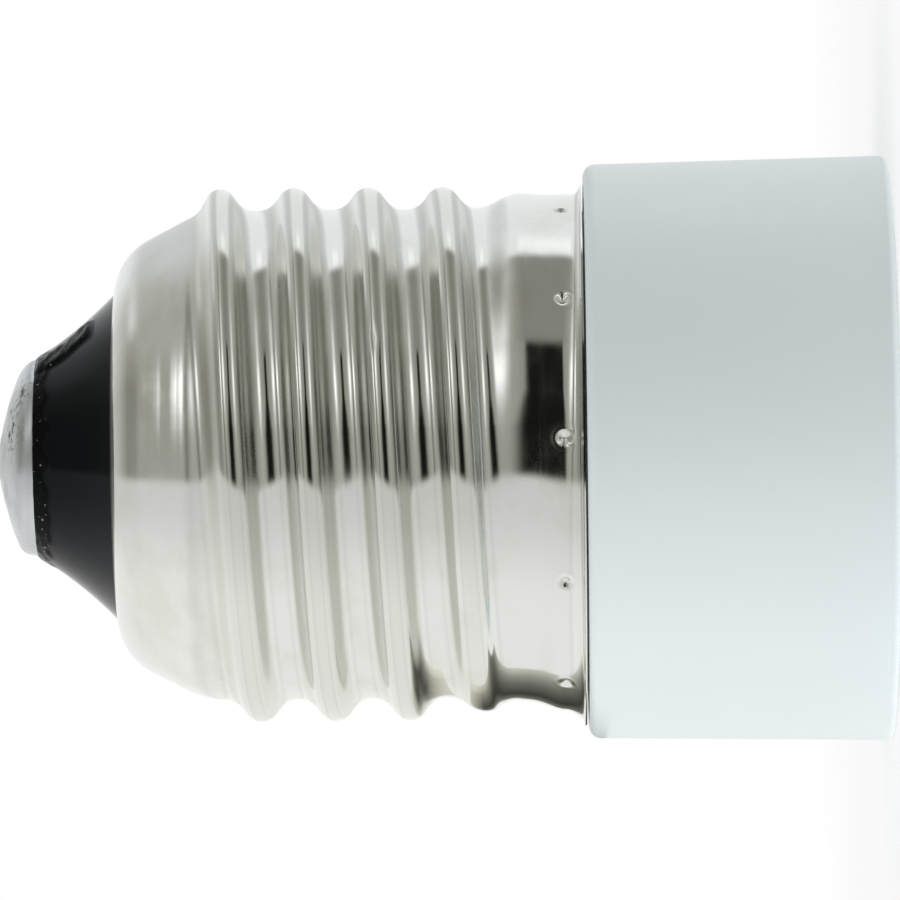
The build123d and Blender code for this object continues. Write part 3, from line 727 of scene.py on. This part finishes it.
def studio_floor():
    """Pale floor that is white far off and greyer near the object, a painted shade through which its real shadow
    shows, and clear from below.
    """
    size = 3.0
    mesh = bpy.data.meshes.new("floor")
    level = -0.02 * MM
    corners = [(-size, -size, level), (size, -size, level), (size, size, level), (-size, size, level)]
    mesh.from_pydata(corners, [], [(0, 1, 2, 3)])
    floor = bpy.data.objects.new("floor", mesh)
    bpy.context.scene.collection.objects.link(floor)
    material = bpy.data.materials.new("floor")
    material.use_nodes = True
    tree = material.node_tree
    surface = tree.nodes["Principled BSDF"]
    surface.inputs["Base Color"].default_value = (0.96, 0.96, 0.96, 1)
    surface.inputs["Roughness"].default_value = 0.8
    surface.inputs["Specular IOR Level"].default_value = 0.0
    glow = tree.nodes.new("ShaderNodeEmission")
    glow.inputs["Strength"].default_value = 1.0
    place = tree.nodes.new("ShaderNodeNewGeometry")
    far = tree.nodes.new("ShaderNodeVectorMath")
    far.operation = "LENGTH"
    tree.links.new(place.outputs["Position"], far.inputs[0])
    white = light_paths(tree, *SEEN_RAYS)
    # painted shade: the white share drops by distance near the object, so the floor greys there and its real shadow
    # shows through
    for start, end, least in SHADOW_FADES:
        fade = tree.nodes.new("ShaderNodeMapRange")
        fade.interpolation_type = "SMOOTHSTEP"
        for socket, value in {"From Min": start, "From Max": end, "To Min": least, "To Max": 1.0}.items():
            fade.inputs[socket].default_value = value
        tree.links.new(far.outputs["Value"], fade.inputs["Value"])
        share = tree.nodes.new("ShaderNodeMath")
        share.operation = "MULTIPLY"
        tree.links.new(white, share.inputs[0])
        tree.links.new(fade.outputs[0], share.inputs[1])
        white = share.outputs[0]
    mix = tree.nodes.new("ShaderNodeMixShader")
    tree.links.new(white, mix.inputs[0])
    tree.links.new(surface.outputs[0], mix.inputs[1])
    tree.links.new(glow.outputs[0], mix.inputs[2])
    clear = tree.nodes.new("ShaderNodeBsdfTransparent")
    both = tree.nodes.new("ShaderNodeMixShader")
    tree.links.new(place.outputs["Backfacing"], both.inputs[0])
    tree.links.new(mix.outputs[0], both.inputs[1])
    tree.links.new(clear.outputs[0], both.inputs[2])
    tree.links.new(both.outputs[0], tree.nodes["Material Output"].inputs["Surface"])
    mesh.materials.append(material)
    floor.visible_glossy = False
    floor.visible_shadow = False


def room_tone(d):
    """Painted reflections: what polished metal sees of the studio in a direction: a pale table, dark behind the
    camera, and soft lights as painted highlights.

    Directions are told apart by the tilt of a surface that would mirror them to the camera: up the picture, and aside.
    """
    left, up, front = d[:, 2], d[:, 0], -d[:, 1]
    rise = np.arctan2(up, 1 + front)
    lean = np.degrees(np.arctan2(left, up * np.sin(rise) + front * np.cos(rise))) / 2
    rise, aside = np.degrees(rise), np.abs(lean)
    soft = ramp(aside, 14, 24)
    high = np.interp(aside, [15, 24, 34, 50, 90], [0.95, 0.7, 0.7, 0.9, 1.0])
    upper = np.interp(
        aside,
        [3.5, 6, 8.5, 11, 13, 16, 20, 32, 37, 44, 55, 90],
        [0.27, 0.3, 0.34, 0.39, 0.43, 0.53, 0.46, 0.46, 0.42, 0.42, 0.6, 0.9],
    )
    level = np.interp(
        aside,
        [6, 8.5, 13, 16, 20, 31, 35, 44, 55, 90],
        [0.33, 0.37, 0.38, 0.42, 0.42, 0.39, 0.29, 0.28, 0.5, 0.9],
    )
    inside = np.interp(rise, [5, 13, 25], [2.2, 0.6, 0.8])
    outside = np.interp(rise, [5, 13, 25], [13.5, 5, 4])
    level = DARKEST_TONE + (level - DARKEST_TONE) * ramp(aside, inside, outside)
    # painted shade: dark stripes in the reflections at given tilts
    shade = 0.2 * bump(lean, 21, 2.2) + 0.22 * bump(lean, -38, 9)
    upper, level = upper - shade, level - shade
    # painted highlights in the reflections at given tilts
    upper = upper + 0.4 * bump(aside, 16.5, 3) * bump(rise, 24, 8) + 0.34 * bump(lean, 40, 6) * ramp(rise, 28, 40)
    level = level + 1.0 * bump(aside, 16.5, 3) * bump(rise, 17, 8) + 1.7 * bump(lean, 26.1, 1.2) * bump(rise, 17, 9)
    high = high + 0.2 * bump(rise, 52, 3) * (1 - ramp(aside, 3, 9))
    table = (0.7 + 0.26 * ramp(-rise, 4, 42)) * np.interp(aside, [12, 19, 27, 36], [1, 0.92, 1.04, 1])
    tone = level + (upper - level) * ramp(rise, 22.5 - 8 * soft, 25.5 + 8 * soft)
    tone = tone + (high - tone) * ramp(rise, 46.5 - 12 * soft, 50 + 12 * soft)
    below = 1 - ramp(rise, -7.5, -4.5)
    tone = tone + (table - tone) * below
    cool = ramp(rise, 40, 60)
    olive = (1 - ramp(tone, 0.2, 0.8)) * (1 - cool)
    red, blue = 1 - 0.02 * cool, 0.975 + 0.03 * cool - 0.1 * olive
    return np.stack([tone * red, tone, tone * blue, np.ones_like(tone)], -1)


def glossy_card(name, points, faces, tone):
    """Glowing part of the studio, no lamp, that only polished surfaces see, with a colour at each point: a painted
    reflection.
    """
    mesh = bpy.data.meshes.new(name)
    mesh.from_pydata(points.tolist(), [], faces)
    mesh.attributes.new("tone", "FLOAT_COLOR", "POINT").data.foreach_set("color", tone.astype(np.float32).ravel())
    material = bpy.data.materials.new(name)
    material.use_nodes = True
    tree = material.node_tree
    tree.nodes.remove(tree.nodes["Principled BSDF"])
    glow = tree.nodes.new("ShaderNodeEmission")
    colour = tree.nodes.new("ShaderNodeAttribute")
    colour.attribute_name = "tone"
    tree.links.new(colour.outputs["Color"], glow.inputs["Color"])
    tree.links.new(glow.outputs[0], tree.nodes["Material Output"].inputs["Surface"])
    material.cycles.emission_sampling = "NONE"
    mesh.materials.append(material)
    card = bpy.data.objects.new(name, mesh)
    bpy.context.scene.collection.objects.link(card)
    for kind in ("camera", "diffuse", "shadow", "transmission"):
        setattr(card, "visible_" + kind, False)


def painted_reflection_room():
    """Backdrop all round the object, seen only in reflections: a glowing sphere painted with the reflections that the
    metal and glass show.
    """
    rows, columns = 200, 480
    fall = np.linspace(0.002, math.pi - 0.002, rows)[:, None]
    angles = np.linspace(0, TAU, columns, endpoint=False)[None, :]
    ring = np.sin(fall)
    d = np.stack([np.cos(fall) + 0 * angles, ring * np.cos(angles), ring * np.sin(angles)], -1).reshape(-1, 3)
    faces = ring_faces(rows, columns)[: (rows - 1) * columns]
    glossy_card("room", d * ROOM_R + np.array([0, 0, ROOM_Z]), faces, room_tone(d))


def studio_card():
    """Dim card beside the cap's foot, where the table lies in the photograph: its shade, for the skirt to mirror."""
    deep, tall = [-5.0, -3.2, -1.5, 1.0, 6.0], [14.0, 20.0, 22.2]
    table_x, slant = -14.6, 0.25
    points = np.array([(table_x, y + slant * (z - tall[0]), z) for z in tall for y in deep])
    faces = [(i, i + 1, i + 6, i + 5) for i in (0, 1, 2, 3, 5, 6, 7, 8)]
    tone = np.array([0.75, 0.3, 0.15, 0.06, 0.25])
    tone = np.concatenate([0.6 * tone, tone, 0.7 + 0.3 * tone])
    glossy_card("card", points * MM, faces, np.stack([tone, tone, tone * 0.86, np.ones(15)], -1))


def area_light(name, direction, distance, size, power):
    """Soft light that looks at the middle of the object."""
    data = bpy.data.lights.new(name, "AREA")
    data.shape, data.size, data.energy = "DISK", size, power
    lamp = bpy.data.objects.new(name, data)
    bpy.context.scene.collection.objects.link(lamp)
    away = Vector(direction).normalized()
    lamp.location = Vector((0, 0, LIT_Z)) + away * distance
    lamp.rotation_mode = "QUATERNION"
    lamp.rotation_quaternion = away.to_track_quat("Z", "Y")
    lamp.visible_glossy = False
    lamp.visible_camera = False


def photo_camera():
    """Camera on the -Y side, turned on its side and tilted a little, as in the photograph."""
    distance, scale, tilt, turn = 0.42, 20450.0, math.atan(0.0118), 0.0093
    data = bpy.data.cameras.new("camera")
    data.sensor_width = 36
    data.lens = data.sensor_width * distance / (PICTURE_SIZE / scale)
    data.clip_end = 20
    camera = bpy.data.objects.new("camera", data)
    bpy.context.scene.collection.objects.link(camera)
    right = Vector((-math.sin(tilt), 0, -math.cos(tilt)))
    up = Vector((math.cos(tilt), 0, -math.sin(tilt)))
    back = right.cross(up)
    cos, sin = math.cos(turn), math.sin(turn)
    right, back = right * cos - back * sin, back * cos + right * sin
    turned = Matrix((right, up, back)).transposed().to_4x4()
    middle = Vector((3.1 / scale, 0, 21.47 * MM))
    camera.matrix_world = Matrix.Translation(middle + back * distance) @ turned
    bpy.context.scene.camera = camera


studio_world()
studio_floor()
painted_reflection_room()
studio_card()
area_light("below_light", (-0.95, -0.31, 0.1), 0.5, 0.35, 0.96)
area_light("back_light", (0.9, 0.4, 0.2), 0.5, 0.3, 0.5)
area_light("top_light", (-0.15, -0.25, 1.0), 0.5, 0.3, 0.8)
area_light("under_light", (0.1, -0.1, -1.0), 0.4, 0.3, 0.7)
photo_camera()
bpy.context.scene.view_settings.view_transform = "Standard"
